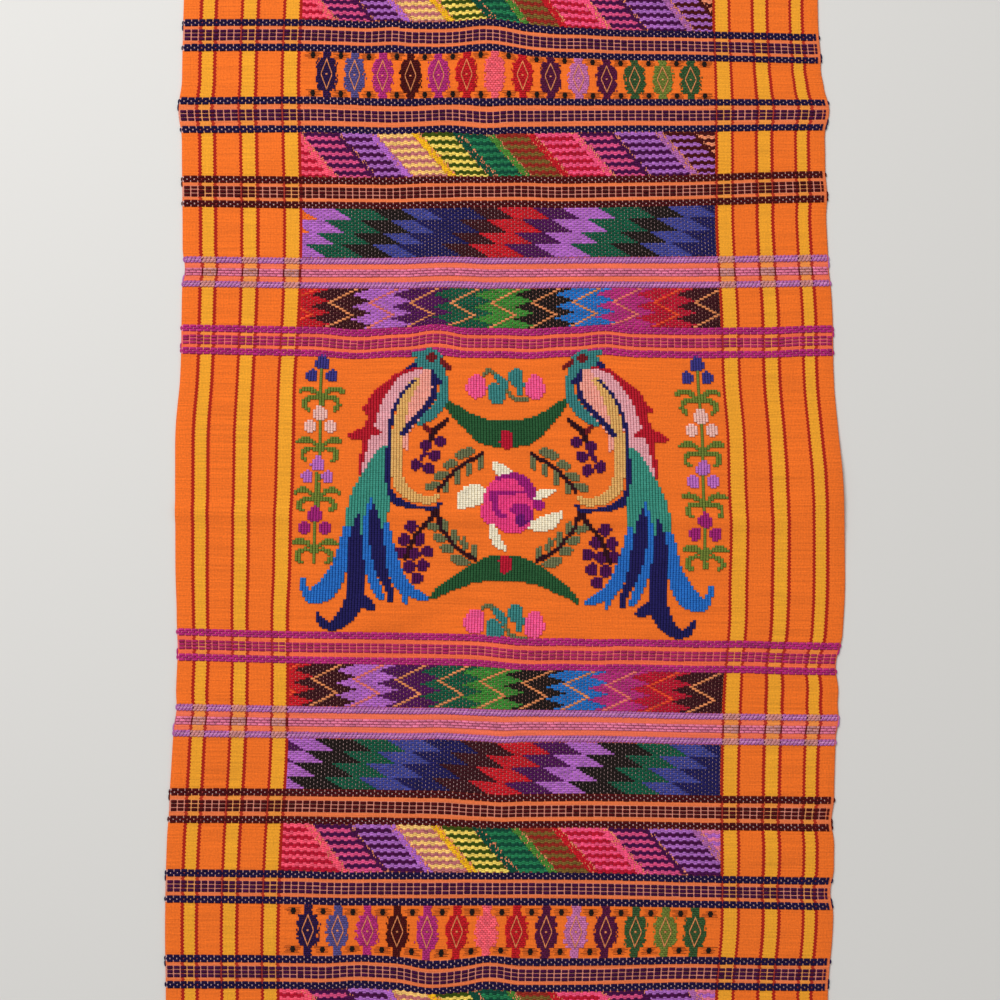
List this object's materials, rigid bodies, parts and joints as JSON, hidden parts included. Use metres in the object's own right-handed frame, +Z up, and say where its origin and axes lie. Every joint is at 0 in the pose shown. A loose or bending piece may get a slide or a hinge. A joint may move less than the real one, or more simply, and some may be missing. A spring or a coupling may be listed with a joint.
{
  "type": "woven table runner",
  "caption": "Flat woven cotton table runner with striped ground, raised weft ribs, a brocaded middle panel and a turned hem at each end.",
  "frame": {"origin": "middle of the bounding box, on the surface the runner lies on", "axes": "+Y along the runner's length, +X across it, +Z up out of the patterned face"},
  "size_m": [0.4312, 1, 0.004],
  "materials": {
    "cloth": "matt woven cotton"
  },
  "bodies": {
    "root": {"runner_cloth": "cloth"}
  },
  "joints": []
}
